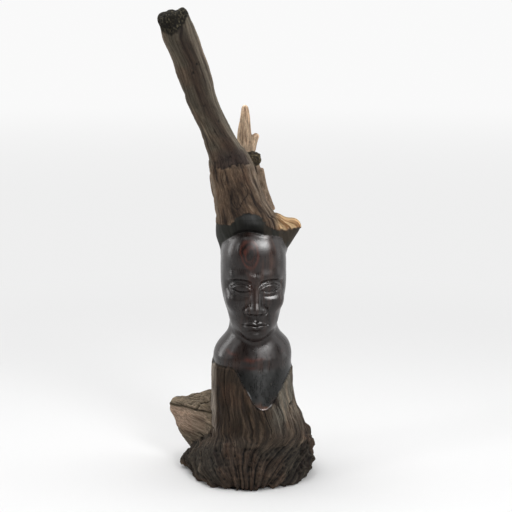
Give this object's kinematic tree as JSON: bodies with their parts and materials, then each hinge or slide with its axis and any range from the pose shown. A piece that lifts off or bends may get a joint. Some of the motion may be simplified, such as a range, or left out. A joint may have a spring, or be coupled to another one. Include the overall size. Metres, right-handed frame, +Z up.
{
  "type": "carved ancestor bust on a natural wooden limb",
  "caption": "Polished hardwood bust under a scraped hood, carved at the foot of a weathered limb that leans up to a broken end, standing on its own rough root.",
  "frame": {"origin": "middle of the flat underside, on the surface that the figure stands on", "axes": "+Z up, the face looks towards -Y, and the limb leans towards -X"},
  "size_m": [0.1643, 0.135, 0.5],
  "materials": {
    "polished": "dark heartwood rubbed to a soft wax polish",
    "scraped": "dark grey wood left from the scraper, fine parallel tool marks, satin",
    "weathered": "matt weathered grey-brown wood with open vertical grain",
    "root_wood": "rough dark root wood with deep grooves and gnarls",
    "pale_splinter": "pale fibrous split sapwood, matt",
    "end_grain": "dark porous broken end grain, matt"
  },
  "bodies": {
    "root": {"root_base": "root_wood", "foot_spur": "root_wood", "root_burl": "root_wood", "back_stump": "weathered", "robe": "root_wood", "side_slab": "weathered", "bust": "polished", "neck": "polished", "head": "polished", "hood": "scraped", "brim_spur": "scraped", "crown_trunk": "weathered", "back_slab": "weathered", "edge_slab": "pale_splinter", "tall_splinter": "pale_splinter", "short_splinter": "pale_splinter", "small_spike": "pale_splinter", "knot_stub": "end_grain", "main_branch": "weathered", "branch_tip": "end_grain"}
  },
  "joints": []
}
